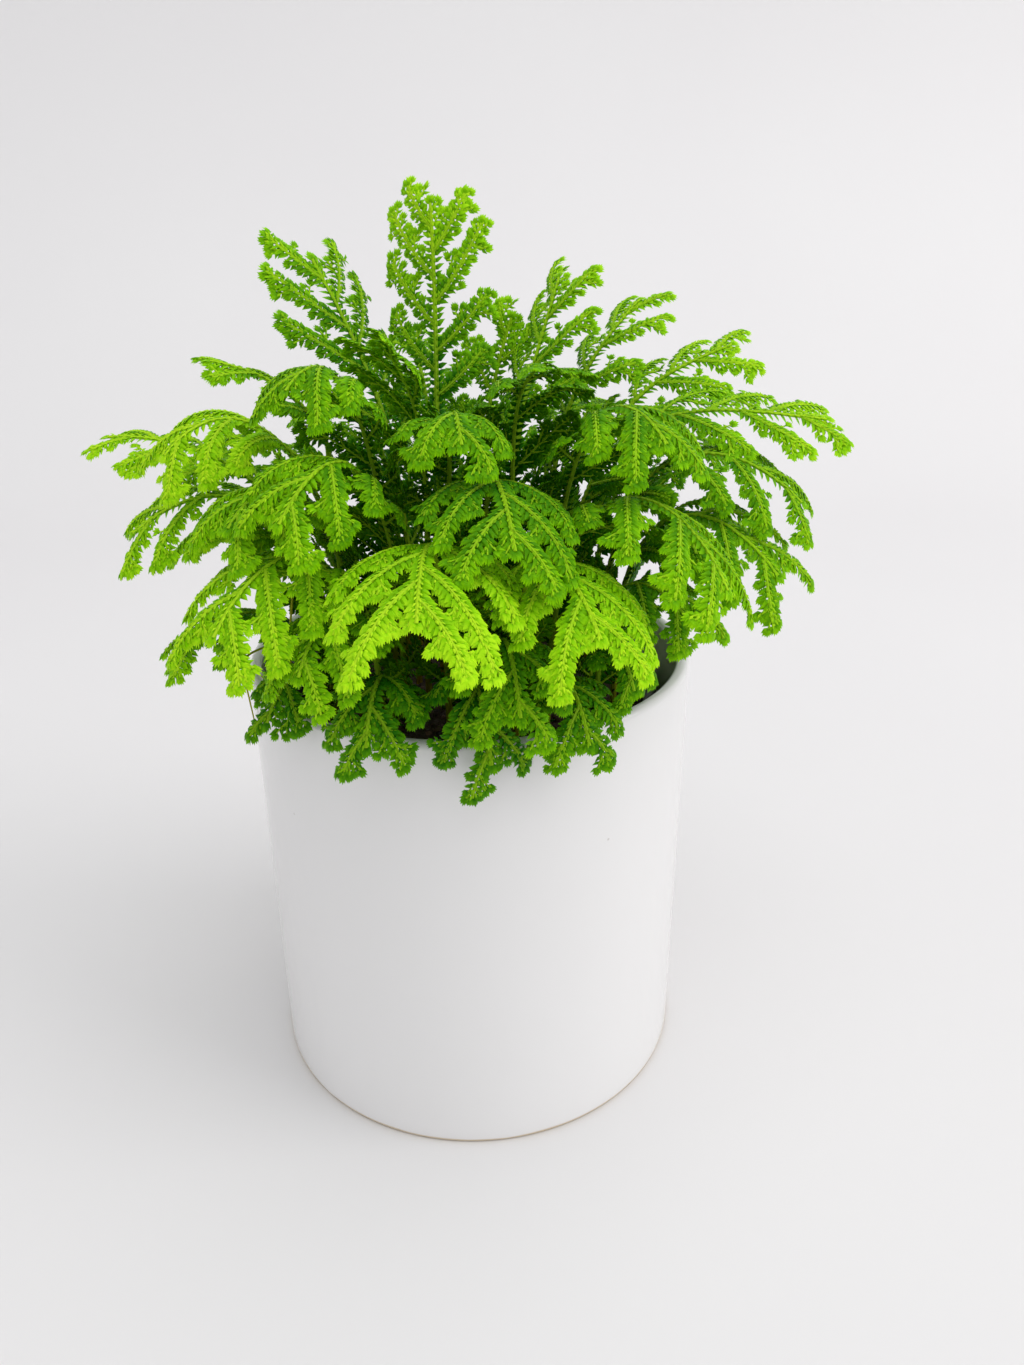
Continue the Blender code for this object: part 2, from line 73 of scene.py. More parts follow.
# %% The table of fronds, in millimetres and degrees
FRONDS = {
    # name: (root x, root y, tip x, tip y, tip z, pitch, rise, reach, spray, half width, roll, droop, bend, branches)
    "frond_crown": (-8, 9, -5, 20, 234, 82, 62, 40, 56, 17, 0, 10, 4, 9),
    "frond_crown_side": (3, 14, 6, 34, 206, 76, 50, 30, 54, 13, -10, 8, -17, 7),
    "frond_fan_left": (-15, 6, -36, 24, 221, 61, 61, 34, 54, 21, -2, 25, 8, 8),
    "frond_starburst": (-20, -8, -38, -34, 196, -40, 72, 22, 50, 20, 0, 45, 0, 8),
    "frond_small_left": (-31, 11, -64, 8, 197, 12, 66, 26, 36, 11, -10, 20, 0, 5),
    "frond_bright_left": (-32, -3, -70, -22, 181, -44, 68, 26, 51, 19, -12, 35, 6, 8),
    "frond_far_left": (-38, 4, -92, 5, 178, -4, 47, 34, 52, 15, -15, 23, -6, 7),
    "frond_left": (-37, -13, -76, -28, 160, -44, 57, 28, 51, 20, -16, 18, -16, 8),
    "frond_broad_left": (-27, -24, -55, -62, 151, -43, 59, 25, 61, 24, -1, 37, 5, 9),
    "frond_rim_left": (-43, -6, -70, -28, 134, -28, 26, 22, 38, 16, 0, 25, 0, 6),
    "frond_rim_front_left": (-36, -26, -47, -49, 124, -52, 24, 14, 26, 11, 0, 20, 0, 4),
    "frond_rim_front_1": (-19, -39, -23, -66, 126, -60, 28, 16, 34, 14, 0, 25, 0, 6),
    "frond_rim_front_2": (-2, -41, 3, -66, 121, -69, 32, 20, 38, 14, 0, 26, 2, 6),
    "frond_rim_front_3": (18, -40, 25, -66, 125, -60, 26, 16, 34, 13, 0, 26, 0, 6),
    "frond_rim_front_right": (31, -31, 36, -54, 132, -53, 24, 16, 27, 9, 1, 22, 2, 4),
    "frond_bright_front": (-6, -24, -12, -85, 161, -27, 54, 33, 59, 26, 1, 31, 4, 9),
    "frond_bright_front_right": (11, -28, 25, -80, 155, -34, 58, 24, 58, 22, -2, 39, 0, 9),
    "frond_blue_front": (3, -13, 9, -70, 170, -34, 65, 33, 62, 22, -5, 31, 0, 9),
    "frond_broad_right": (20, -18, 55, -63, 159, -52, 69, 30, 64, 22, -16, 41, -7, 9),
    "frond_tip_right": (38, -15, 75, -36, 155, -40, 60, 28, 53, 20, 16, 32, -12, 8),
    "frond_far_right": (25, -3, 89, -12, 182, -9, 83, 39, 69, 19, 22, 8, 6, 9),
    "frond_high_right": (29, 9, 71, 22, 199, 20, 73, 28, 52, 17, 19, 30, -5, 8),
    "frond_back_right_1": (11, 4, 30, 21, 216, 57, 71, 32, 56, 17, -2, 20, 11, 8),
    "frond_back_right_2": (20, 17, 50, 40, 208, 34, 66, 28, 48, 16, 0, 20, 0, 7),
    "frond_forked": (12, -8, 19, -28, 200, 17, 70, 27, 55, 19, -1, 35, -1, 8),
    "frond_middle": (-5, -6, -2, -50, 187, -40, 69, 22, 57, 18, -4, 42, 2, 8),
    "frond_middle_back": (-12, -2, -20, -10, 203, 46, 58, 24, 52, 16, 0, 20, 0, 8),
    "frond_mid_left": (-17, -20, -36, -56, 172, -47, 66, 30, 55, 20, -15, 31, -6, 8),
    "frond_mid_right": (22, -8, 42, -48, 186, -38, 76, 24, 58, 20, 0, 40, 0, 8),
    "frond_right": (34, -6, 76, -30, 166, -47, 70, 29, 56, 20, 16, 32, 12, 8),
    "frond_inner_left": (-22, -31, -36, -64, 142, -55, 43, 18, 42, 17, 0, 35, 0, 7),
    "frond_inner_front": (6, -36, 10, -70, 134, -55, 38, 18, 40, 16, 0, 30, 0, 6),
    "frond_back_1": (20, 28, 44, 62, 176, -24, 60, 28, 52, 20, 0, 35, 0, 8),
    "frond_back_2": (2, 31, 2, 74, 174, -24, 58, 28, 52, 20, 0, 35, 0, 8),
    "frond_back_3": (-19, 26, -42, 62, 178, -22, 60, 28, 53, 20, 0, 35, 3, 8),
    "frond_back_4": (-33, 21, -73, 42, 170, -22, 54, 28, 50, 18, 0, 30, 0, 7),
    "frond_back_5": (35, 20, 77, 44, 166, -26, 54, 28, 50, 18, 0, 30, 0, 7),
    "frond_back_low_1": (13, 41, 26, 77, 140, -46, 40, 24, 42, 17, 0, 30, 0, 6),
    "frond_back_low_2": (-16, 40, -30, 77, 140, -46, 40, 24, 42, 17, 0, 30, 0, 6),
    "frond_back_low_3": (42, 8, 82, 14, 146, -40, 40, 26, 44, 17, 0, 30, 0, 6),
    "frond_back_low_4": (-43, 12, -80, 26, 146, -40, 40, 26, 44, 17, 0, 30, 0, 6),
    "frond_back_high": (-8, 22, -18, 51, 200, 11, 68, 23, 50, 17, -8, 25, -2, 7),
    "frond_inner_right": (30, -23, 51, -48, 147, -35, 35, 21, 46, 16, 5, 25, -7, 7),
    "frond_inner_back_left": (-30, -10, -52, -45, 169, -41, 60, 20, 47, 18, -3, 30, 2, 7),
}
print("fronds:", len(FRONDS))

# %% The sizes that the fronds share, in millimetres
STEM_BEND = 111.0  # height at which the stems begin to arch
STEM_IN_SOIL = 12.0
STEM_RADIUS = 1.0
STEM_TIP_RADIUS = 0.75
BRANCH_ANGLE = math.radians(58)
BRANCH_ANGLE_AT_TIP = math.radians(36)
BRANCH_CURL = math.radians(18)
LOBE_ANGLE = math.radians(40)
LOBE_CURL = 0.25
LOBE_LENGTH = 8.0
STEM, MAIN, BRANCH, LOBE, FINE = range(5)  # the kinds of rib
print("a stem is", 2 * STEM_RADIUS, "mm thick")

# %% [markdown]
# ## A flat spray
#
# A real spray lies almost flat, like a fern's: a main rib, side branches that leave it in turn left and right, and
# short lobes on each branch. The ribs could be drawn as curve objects, but an arc needs only five numbers, (start x,
# start y, heading, curl, length), and a formula gives every point on it at once.

# %% One rib as an arc
def along(rib, t):
    """Point and heading at the fraction t of an arc.

    With length L, curl c and heading h, the radius is L/c, the new heading is h + c t, and the shift is
    (L/c) (sin(h + c t) - sin h, cos h - cos(h + c t)).
    """
    x, y, heading, curl, length = rib
    t = np.asarray(t, float)
    if abs(curl) < 1e-6:
        curl = 1e-6
    turned_by = heading + curl * t
    radius = length / curl
    shift_x = radius * (np.sin(turned_by) - math.sin(heading))
    shift_y = radius * (math.cos(heading) - np.cos(turned_by))
    return x + shift_x, y + shift_y, turned_by


def lobe_at(branch, t, side, length, turn):
    """A lobe that leaves a branch at the fraction t, to its left (1) or right (-1), and curls forwards."""
    x, y, heading = along(branch, t)
    return (float(x), float(y), float(heading) + side * (LOBE_ANGLE + turn), -side * LOBE_CURL, length)


print("a quarter turn, 10 mm long, ends at", [round(float(part), 2) for part in along((0, 0, 0, math.pi / 2, 10), 1)])

# %% The drawn ribs of one spray
FIRST_BRANCH, BRANCHED_PART = 0.06, 0.84  # as parts of the main rib's length


def grow_spray(name, spray, half_width, bend, branches):
    """The ribs of one spray: a list of (kind, rib), and the room in mm that a lobe has between two branches.

    Branches leave the main rib at 6% to 90% of its length. Their angle closes from 58 to 36 degrees, and their length
    is half width / sin(angle) times (1 - 0.4 (1 - t)^3) (1 - 0.8 t^3)^0.9, so the spray has a leaf's outline.
    """
    draw = random.Random(name)
    side = draw.choice((-1, 1))
    spacing = 2 * BRANCHED_PART * spray / (branches - 1)
    main = (0.0, 0.0, 0.0, math.radians(bend), spray)
    ribs = [(MAIN, main)]
    for i in range(branches):
        t = FIRST_BRANCH + BRANCHED_PART * i / (branches - 1) + draw.uniform(-0.015, 0.015)
        x, y, heading = along(main, t)
        angle = BRANCH_ANGLE + (BRANCH_ANGLE_AT_TIP - BRANCH_ANGLE) * t + draw.uniform(-0.07, 0.07)
        shape = (1 - 0.4 * (1 - t) ** 3) * (1 - 0.8 * t**3) ** 0.9
        length = half_width / math.sin(angle) * shape * draw.uniform(0.94, 1.06)
        branch = (float(x), float(y), float(heading) + side * angle, -side * BRANCH_CURL, length)
        ribs.append((BRANCH, branch))
        count = 0 if length < 8 else 1 if length < 13 else 2
        room = (0.5 * spacing * math.sin(angle) - 0.9) / math.sin(LOBE_ANGLE)
        lobe_side = side
        for j in range(count):
            lobe_t = 0.5 if count == 1 else 0.4 + 0.26 * j
            lobe_length = max(3.4, min(LOBE_LENGTH, room, 0.62 * length)) * (1 - 0.15 * j) * draw.uniform(0.9, 1.05)
            ribs.append((LOBE, lobe_at(branch, lobe_t, -lobe_side, lobe_length, draw.uniform(-0.08, 0.08))))
            lobe_side = -lobe_side
        side = -side
    return ribs, room


crown = FRONDS["frond_crown"]
crown_ribs, crown_room = grow_spray("frond_crown", crown[8], crown[9], crown[12], crown[13])
print("ribs drawn in the crown:", len(crown_ribs))

# %% [markdown]
# ## The fine lobes and the shoots on the stem
#
# The real branches are toothed fans, with a lobe every few millimetres, and short leafy shoots stand on the stem below
# the spray. The plain blade leaves both out, because they are too many and too small for it. They are grown here from
# the same arcs, each with random numbers of its own, so that the drawn ribs stay where they are.

# %% Small lobes between the drawn ones
FINE_GAP, FINE_CLEARANCE, FINE_SHORTEST = 3.6, 2.1, 2.6


def fine_lobes(name, ribs, room):
    """A small lobe every 3.6 mm on both sides of each branch, two on each lobe and four at the main rib's tip."""
    draw = random.Random("fine " + name)
    extra = []
    for place, (kind, rib) in enumerate(ribs):
        length = rib[4]
        if kind == BRANCH:
            drawn = [other for sort, other in ribs[place + 1 : place + 3] if sort == LOBE]
            for side in (1, -1):
                s = 2.4 if side == 1 else 4.2
                while s < length - FINE_SHORTEST:
                    start = lobe_at(rib, s / length, side, 1.0, 0)
                    near = [math.dist(start[:2], other[:2]) for other in drawn if (other[2] - rib[2]) * side > 0]
                    if min(near, default=9) > FINE_CLEARANCE:
                        reach = min(0.34 * length, room * 0.85, 5.2) * (1 - 0.35 * s / length)
                        reach = max(FINE_SHORTEST, reach * draw.uniform(0.85, 1.1))
                        extra.append((FINE, lobe_at(rib, s / length, side, reach, draw.uniform(-0.12, 0.12))))
                    s += FINE_GAP
                fork = 1 - (2.3 + 0.5 * side) / length
                extra.append((FINE, lobe_at(rib, fork, side, FINE_SHORTEST, draw.uniform(-0.1, 0.1))))
        if kind == LOBE:
            for t, side in ((0.42, 1), (0.62, -1)):
                extra.append((FINE, lobe_at(rib, t, side, 0.42 * length + 0.7, draw.uniform(-0.1, 0.1))))
        if kind == MAIN:
            for back, reach in ((3.2, 3.2), (6.2, 4.2)):
                for side in (1, -1):
                    extra.append((FINE, lobe_at(rib, 1 - (back + 0.6 * side) / length, side, reach, 0)))
    return extra


print("fine lobes in the crown:", len(fine_lobes("frond_crown", crown_ribs, crown_room)))

# %% Short leafy shoots on the stem
SHOOTS_FROM, SHOOTS_FROM_FRONT, FRONT = 10.0, 5.0, -12  # the front is where a root's y is below this


def stem_shoots(name, begin, low):
    """Shoots on the stem below the spray, which begins at a length along it, in turn left and right, from low up."""
    draw = random.Random("shoots " + name)
    side = draw.choice((-1, 1))
    ribs = []
    s = low + draw.uniform(0, 4)
    while s < begin - 3:
        reach = (9.5 + 7 * (s - low) / max(begin - low, 1)) * draw.uniform(0.8, 1.15)
        shoot = (s - begin, 0.0, side * math.radians(draw.uniform(44, 60)), -side * 0.35, reach)
        ribs.append((BRANCH, shoot))
        for t, turn in ((0.3, -side), (0.46, side), (0.62, -side), (0.78, side), (0.88, -side)):
            length = min(4.8, 0.36 * reach) * (1.15 - 0.5 * t) * draw.uniform(0.9, 1.1)
            ribs.append((FINE, lobe_at(shoot, t, turn, max(2.4, length), draw.uniform(-0.1, 0.1))))
        side = -side
        s += draw.uniform(5.5, 7.5)
    return ribs


print("ribs of the shoots on a stem of 80 mm:", len(stem_shoots("frond_crown", 80, SHOOTS_FROM)))

# %% [markdown]
# ## From the flat drawing to space
#
# A stem rises, arches out and lets its spray hang like a fern's. Its line is a cubic Bezier curve in an upright plane.
# A curve modifier could bend a flat mesh along it, but here the bend is a formula: u runs along the curve and v across
# it, the blade droops away on both sides, and each branch is a low ridge, as the crisp real ones are.

# %% The frond's path
def path_of(row):
    """The centreline as points, directions and lengths along it.

    B(t) = (1-t)^3 root + 3 (1-t)^2 t (root + rise) + 3 (1-t) t^2 (tip - reach) + t^3 tip.
    """
    root_x, root_y, tip_x, tip_y, tip_z, pitch, rise, reach = row[:8]
    heading = math.atan2(tip_y - root_y, tip_x - root_x)
    pitch = math.radians(pitch)
    outward = np.array((math.cos(heading), math.sin(heading), 0))
    aim = outward * math.cos(pitch) + np.array((0, 0, math.sin(pitch)))
    root = np.array((root_x, root_y, STEM_BEND))
    tip = np.array((tip_x, tip_y, tip_z))
    t = np.linspace(0, 1, 129)[:, None]
    a, b, c, d = root, root + np.array((0, 0, rise)), tip - aim * reach, tip
    points = (1 - t) ** 3 * a + 3 * (1 - t) ** 2 * t * b + 3 * (1 - t) * t**2 * c + t**3 * d
    slope = 3 * (1 - t) ** 2 * (b - a) + 6 * (1 - t) * t * (c - b) + 3 * t**2 * (d - c)
    steps = np.linalg.norm(np.diff(points, axis=0), axis=1)
    lengths = np.concatenate(([0], np.cumsum(steps)))
    sideways = np.array((-outward[1], outward[0], 0))
    return points, unit(slope), lengths, aim, sideways


print("the crown's centreline is", round(float(path_of(crown)[2][-1])), "mm long")

# %% The ridges of its surface
RIDGE_HEIGHT, RIDGE_WIDTH, DROP_WIDTH = 1.3, 2.3, 60**0.5
BRANCH_DROP = 0.1


def ridges_of(ribs):
    """Points along the main rib and the branches, as (u, v, drop): a branch sinks by t^3 / 10 of its length."""
    rows = []
    for kind, rib in ribs:
        if kind in (MAIN, BRANCH):
            t = np.linspace(0, 1, 40)
            u, v, _ = along(rib, t)
            rows.append(np.stack((u, v, (BRANCH_DROP if kind == BRANCH else 0.0) * rib[4] * t**3), 1))
    return np.concatenate(rows)


def relief(ridges, u, v):
    """Height over the arched surface: h exp(-(d/w)^2) less the drop, where d is the distance to the nearest ridge."""
    square = (ridges[None, :, 0] - u[:, None]) ** 2 + (ridges[None, :, 1] - v[:, None]) ** 2
    nearest = np.argmin(square, 1)
    closest = square[np.arange(len(u)), nearest]
    ridge = RIDGE_HEIGHT * np.exp(-closest / RIDGE_WIDTH**2)
    return ridge - ridges[nearest, 2] * np.exp(-closest / DROP_WIDTH**2)


print("height on a ridge:", relief(ridges_of(crown_ribs), np.array([20.0]), np.array([0.0]))[0].round(2), "mm")

# %% The arched surface
def lay(row, path, u, v):
    """Places the flat points (u, v) in space.

    With droop k, the place is P(u) + B sin(k v)/k - N (1 - cos(k v))/k, where P is the path, B points across it and N
    up from the blade. The relief lifts it along N. Returns the places and the directions ahead, across and up there.
    """
    points, slope, lengths, aim, sideways, ridges = path
    u, v = np.asarray(u, float), np.asarray(v, float)
    s = u + lengths[-1] - row[8]
    place = np.stack([np.interp(s, lengths, points[:, k]) for k in range(3)], 1)
    ahead = unit(np.stack([np.interp(s, lengths, slope[:, k]) for k in range(3)], 1))
    place += aim * np.maximum(s - lengths[-1], 0)[:, None]
    place += np.array((0, 0, 1)) * np.minimum(s, 0)[:, None]
    roll = math.radians(row[10])
    upper = np.cross(ahead, sideways)
    across = sideways * math.cos(roll) + upper * math.sin(roll)
    upper = np.cross(ahead, across)
    bend = math.radians(row[11]) / row[9]
    turn = (bend * v)[:, None]
    place = place + across * (np.sin(turn) / bend) - upper * ((1 - np.cos(turn)) / bend)
    out = upper * np.cos(turn) + across * np.sin(turn)
    across = across * np.cos(turn) - upper * np.sin(turn)
    step = 0.3
    place = place + out * relief(ridges, u, v)[:, None]
    ahead = ahead + out * ((relief(ridges, u + step, v) - relief(ridges, u - step, v)) / (2 * step))[:, None]
    across = across + out * ((relief(ridges, u, v + step) - relief(ridges, u, v - step)) / (2 * step))[:, None]
    ahead = unit(ahead)
    out = unit(np.cross(ahead, across))
    return place, ahead, np.cross(out, ahead), out


crown_path = (*path_of(crown), ridges_of(crown_ribs))
print("the crown's tip:", lay(crown, crown_path, [crown[8]], [0])[0].round(1).tolist())

# %% [markdown]
# ## The leaves
#
# A real leaf is a scale of two to three millimetres, pointed and a little cupped. A flat card would do from afar, but a
# closed blade is solid from all sides: it has points round the edge, a raised point in the middle of the upper side and
# a flat underside. There are tens of thousands, so each has only a few faces.

# %% The leaf's own shape, for a length and a width of 1
def leaf_shape(outline):
    """Points and triangles of a leaf from its outline: a fan over the raised middle and a fan under it."""
    count = len(outline)
    points = np.array(outline + ((0.42, 0.0, 0.11),))
    above = [(i, (i + 1) % count, count) for i in range(count)]
    below = [(0, i + 1, i) for i in range(1, count - 1)]
    return points, np.array(above + below)


LARGE_LEAF = leaf_shape(((0, 0, 0), (0.34, -0.45, 0), (1.0, 0.02, -0.13), (0.66, 0.36, -0.04), (0.26, 0.44, 0)))
SMALL_LEAF = leaf_shape(((0, 0, 0), (0.40, -0.46, -0.01), (1.0, 0.02, -0.12), (0.40, 0.46, -0.01)))
print("faces of a leaf:", len(LARGE_LEAF[1]), "or", len(SMALL_LEAF[1]))

# %% Where the leaves of one rib go
LEAF_GAP = {STEM: 2.3, MAIN: 1.7, BRANCH: 1.4, LOBE: 1.35, FINE: 1.3}
LEAF_LENGTH = {STEM: 2.6, MAIN: 3.0, BRANCH: 2.9, LOBE: 2.7, FINE: 2.5}
LEAF_WIDTH, MIDDLE_LEAF_WIDTH = 0.62, 0.46  # as parts of the leaf's length
SIDE_LEAF, MIDDLE_LEAF, BARE_RIB = 0.0, 1.0, 2.0  # what a point belongs to


def leaf_rows(rib, kind, draw):
    """Arrays of (u, v, heading, lift, tilt, length, width, sort, age), one row for each leaf.

    Side leaves leave the rib at an angle that closes from 58 degrees to 10 near the tip, where three more make a
    rounded fan. Middle leaves lie along the rib's upper side, in two lines, or in one on the smallest ribs.
    """
    length = rib[4]
    gap = LEAF_GAP[kind]
    tip = kind != STEM
    count = max(2, int(length / gap))
    rows = []
    for side in (1, -1):
        s = (np.arange(count) + (0.25 if side == 1 else 0.75)) * gap
        s = s[s < length]
        s = np.concatenate((s, (length - 0.35, length - 0.1, length) if tip else ()))
        t = np.minimum(s / length, 1)
        u, v, heading = along(rib, t)
        left = np.clip((length - s) / 4.2, 0, 1) if tip else np.ones_like(s)
        angle = np.radians(10 + 48 * left**0.8)
        if tip:
            angle[-3:] = np.radians((34, 20, 6))
        angle = angle * draw.uniform(0.88, 1.12, len(s))
        grown = LEAF_LENGTH[kind] * (0.82 + 0.18 * left) * draw.uniform(0.88, 1.1, len(s))
        rows.append(np.stack([
            u, v, heading + side * angle, np.full_like(s, -0.05), side * np.full_like(s, 0.42),
            grown, grown * LEAF_WIDTH, np.full_like(s, SIDE_LEAF), 1 - t,
        ], 1))
    small = kind in (LOBE, FINE)
    for side in (1,) if small else (1, -1):
        s = (np.arange(count) + (0.1 if side == 1 else 0.6)) * gap
        s = s[s < length - 0.4]
        u, v, heading = along(rib, s / length)
        beside = side * (0 if small else 0.28)
        grown = (1.7 if kind == STEM else 1.45) * draw.uniform(0.85, 1.1, len(s))
        aside = side * draw.uniform(0.12, 0.4, len(s))
        rows.append(np.stack([
            u - np.sin(heading) * beside, v + np.cos(heading) * beside, heading + aside,
            np.full_like(s, 0.5 if kind in (STEM, MAIN) else 0.3), np.zeros_like(s),
            grown, grown * MIDDLE_LEAF_WIDTH, np.full_like(s, MIDDLE_LEAF), 1 - s / length,
        ], 1))
    return np.concatenate(rows)


crown_leaves = leaf_rows(crown_ribs[0][1], MAIN, np.random.default_rng(1))
print("leaves on the crown's main rib:", len(crown_leaves))

# %% Put all leaves of a rib on the frond at once
def leaf_mesh(row, path, leaves, radius, leaf, draw):
    """Points and faces of the leaves, with each point's sort, age, place along its leaf and luck.

    A leaf's point (a, b, c) goes to base + a length F + b width W + c length N, with F forwards along the leaf, W
    across it and N out of its face.
    """
    u, v, heading, lift, tilt, length, width, sort, age = leaves.T
    place, ahead, across, upper = lay(row, path, u, v)
    cos, sin = np.cos(heading)[:, None], np.sin(heading)[:, None]
    forward = ahead * cos + across * sin
    beside = across * cos - ahead * sin
    forward = unit(forward + upper * np.where(sort == MIDDLE_LEAF, 0.30, -0.06)[:, None])
    normal = unit(np.cross(forward, beside))
    normal *= np.sign(np.sum(normal * upper, axis=1))[:, None]
    tilt_cos, tilt_sin = np.cos(tilt)[:, None], np.sin(tilt)[:, None]
    wide = beside * tilt_cos + normal * tilt_sin
    thick = normal * tilt_cos - beside * tilt_sin
    base = place + upper * (lift * radius)[:, None]
    shape, corners = leaf
    points = (
        base[:, None]
        + forward[:, None] * (shape[:, 0] * length[:, None])[..., None]
        + wide[:, None] * (shape[:, 1] * width[:, None])[..., None]
        + thick[:, None] * (shape[:, 2] * length[:, None])[..., None]
    )
    count = len(u)
    faces = corners[None] + (np.arange(count) * len(shape))[:, None, None]
    facts = np.stack([
        np.repeat(sort, len(shape)), np.repeat(age, len(shape)), np.tile(shape[:, 0], count),
        np.repeat(draw.uniform(-1, 1, count), len(shape)),
    ], 1)
    return points.reshape(-1, 3), faces.reshape(-1, 3), facts


crown_part = leaf_mesh(crown, crown_path, crown_leaves, 0.75, LARGE_LEAF, np.random.default_rng(1))
print("faces of these leaves:", len(crown_part[1]))

# %% [markdown]
# ## Ribs, stems and roots
#
# All of these are round threads, from a stem of two millimetres to a root of half a millimetre. A curve object with a
# bevel would give them too. As rings of points along a path they go straight into the frond's own mesh.

# %% A closed tube
def tube(place, beside, above, radius, sides, shift):
    """A ring of radius r at each point P of a path, P + r (B cos a + A sin a), and a point to close each end."""
    angle = 2 * np.pi * (np.arange(sides) + shift) / sides
    ring = (
        place[:, None]
        + beside[:, None] * (np.cos(angle)[None] * radius[:, None])[..., None]
        + above[:, None] * (np.sin(angle)[None] * radius[:, None])[..., None]
    )
    points = np.concatenate((ring.reshape(-1, 3), place[:1], place[-1:]))
    k = np.arange(sides)
    after = (k + 1) % sides
    start = (np.arange(len(place) - 1) * sides)[:, None]
    lower, upper = (start + k, start + after), (start + sides + k, start + sides + after)
    halves = (np.stack((*lower, upper[1]), 2), np.stack((lower[0], upper[1], upper[0]), 2))
    foot = len(place) * sides
    last = foot - sides
    return points, np.concatenate((
        np.stack(halves, 1).reshape(-1, 3),
        np.stack((after, k, np.full(sides, foot)), 1),
        np.stack((last + k, last + after, np.full(sides, foot + 1)), 1),
    ))


print("faces of a tube of 3 rings of 5 points:", len(tube(*np.eye(3)[None].repeat(3, 0), np.ones(3), 5, 0)[1]))

# %% A round rib under the leaves
RADII = {STEM: (STEM_RADIUS, STEM_TIP_RADIUS), MAIN: (0.75, 0.42), BRANCH: (0.46, 0.26), LOBE: (0.34, 0.2),
         FINE: (0.28, 0.16)}
SIDES = {STEM: 8, MAIN: 6, BRANCH: 5, LOBE: 4, FINE: 4}


def rib_tube(row, path, rib, kind):
    """A tapered tube along a rib, with a ring every 2 mm."""
    rings = max(3, int(rib[4] / 2.0) + 1)
    sides = SIDES[kind]
    t = np.linspace(0, 1, rings)
    u, v, heading = along(rib, t)
    place, ahead, across, upper = lay(row, path, u, v)
    beside = across * np.cos(heading)[:, None] - ahead * np.sin(heading)[:, None]
    thick, thin = RADII[kind]
    points, faces = tube(place, beside, upper, thick + (thin - thick) * t, sides, 0.5)
    facts = np.zeros((len(points), 4))
    facts[:, 0] = BARE_RIB
    facts[:, 1] = np.concatenate((np.repeat(1 - t, sides), (1.0, 0.0)))
    return points, faces, facts


print("faces of the crown's main rib:", len(rib_tube(crown, crown_path, crown_ribs[0][1], MAIN)[1]))

# %% The roots at the left rim
# The pale root over the rim with its fork, and two thin tan ones that hang down inside: points in mm and a radius
ROOTS = (
    (((-44, -12, 127), (-52, -16, 130.5), (-57.6, -18.9, 129), (-58.8, -19.2, 124), (-58.4, -18.8, 119),
      (-58, -18.6, 114.6), (-57, -21.2, 111.5)), 0.36),
    (((-57.6, -18.9, 129), (-56, -23.3, 127.3), (-51.2, -32.5, 129), (-48.7, -36, 128.2), (-45, -36.5, 125)), 0.26),
    (((-42, -30, 150), (-43.5, -32, 140), (-44, -33, 129), (-43, -31, 118), (-42, -30, 109)), 0.3),
    (((-40, -27, 148), (-40.5, -31, 136), (-41, -33, 122), (-40, -32, 109)), 0.25),
)
ROOT_TINT = (0.5, 1.0, 0.45)  # how light, how pale and how brown


def root_thread(line, radius):
    """A tube along a smoothed line through a few points in mm, tapered to half its radius."""
    line = np.array(line, float)
    at = np.linspace(0, len(line) - 1, 6 * len(line))
    place = np.stack([np.interp(at, np.arange(len(line)), line[:, k]) for k in range(3)], 1)
    for _ in range(4):
        place[1:-1] = (place[:-2] + 2 * place[1:-1] + place[2:]) / 4
    ahead = unit(np.gradient(place, axis=0))
    beside = unit(np.cross(ahead, (0.3, 0.2, 0.93)))
    return tube(place, beside, np.cross(beside, ahead), radius * np.linspace(1, 0.5, len(place)), 5, 0)


print("roots:", len(ROOTS))

# %% [markdown]
# ## Growing a whole frond
#
# Spikemoss is lime green at its young tips and its old stems turn brown; the dark green deep inside and at each leaf's
# foot is painted shade. An image texture could not follow each leaf, so three numbers are kept on the mesh for every
# point: how light it is, painted light and shade included, how pale, as ribs and middle leaves are, and how brown.

# %% All ribs and leaves of one frond
AGES = {STEM: (0.7, 1.0), MAIN: (0.12, 0.7), BRANCH: (0.05, 0.5), LOBE: (0.0, 0.34), FINE: (0.0, 0.22)}


def grow_frond(name, row):
    """Points (in mm), faces and four facts for each point. Age runs from 0 at young tips to 1 at the stem's foot."""
    ribs, room = grow_spray(name, row[8], row[9], row[12], row[13])
    path = (*path_of(row), ridges_of(ribs))
    begin = path[2][-1] - row[8]
    low = SHOOTS_FROM_FRONT if row[1] < FRONT else SHOOTS_FROM
    stem = (-begin - STEM_IN_SOIL, 0.0, 0.0, 0.0, begin + STEM_IN_SOIL)
    ribs = [(STEM, stem)] + ribs + fine_lobes(name, ribs, room) + stem_shoots(name, begin, low)
    draw = np.random.default_rng(sum(map(ord, name)))
    parts = []
    for kind, rib in ribs:
        leaves = leaf_rows(rib, kind, draw)
        if kind == STEM:
            leaves = leaves[leaves[:, 0] > -begin + 2.0]
        leaf = SMALL_LEAF if kind in (LOBE, FINE) else LARGE_LEAF
        young, old = AGES[kind]
        for part in (rib_tube(row, path, rib, kind), leaf_mesh(row, path, leaves, RADII[kind][0], leaf, draw)):
            part[2][:, 1] = young + (old - young) * part[2][:, 1]
            parts.append(part)
    start = np.cumsum([0] + [len(part[0]) for part in parts[:-1]])
    faces = np.concatenate([part[1] + at for part, at in zip(parts, start)])
    return np.concatenate([part[0] for part in parts]), faces, np.concatenate([part[2] for part in parts])


crown_points, _, crown_facts = grow_frond("frond_crown", crown)
print("points of the crown:", len(crown_points))

# %% The three numbers that colour it
# The middle and reach of the plant, from which its painted shade inside and painted light outside are measured
PLANT_MIDDLE = np.array((2.0, -5.0, 135.0))
PLANT_REACH = np.array((92.0, 86.0, 98.0))
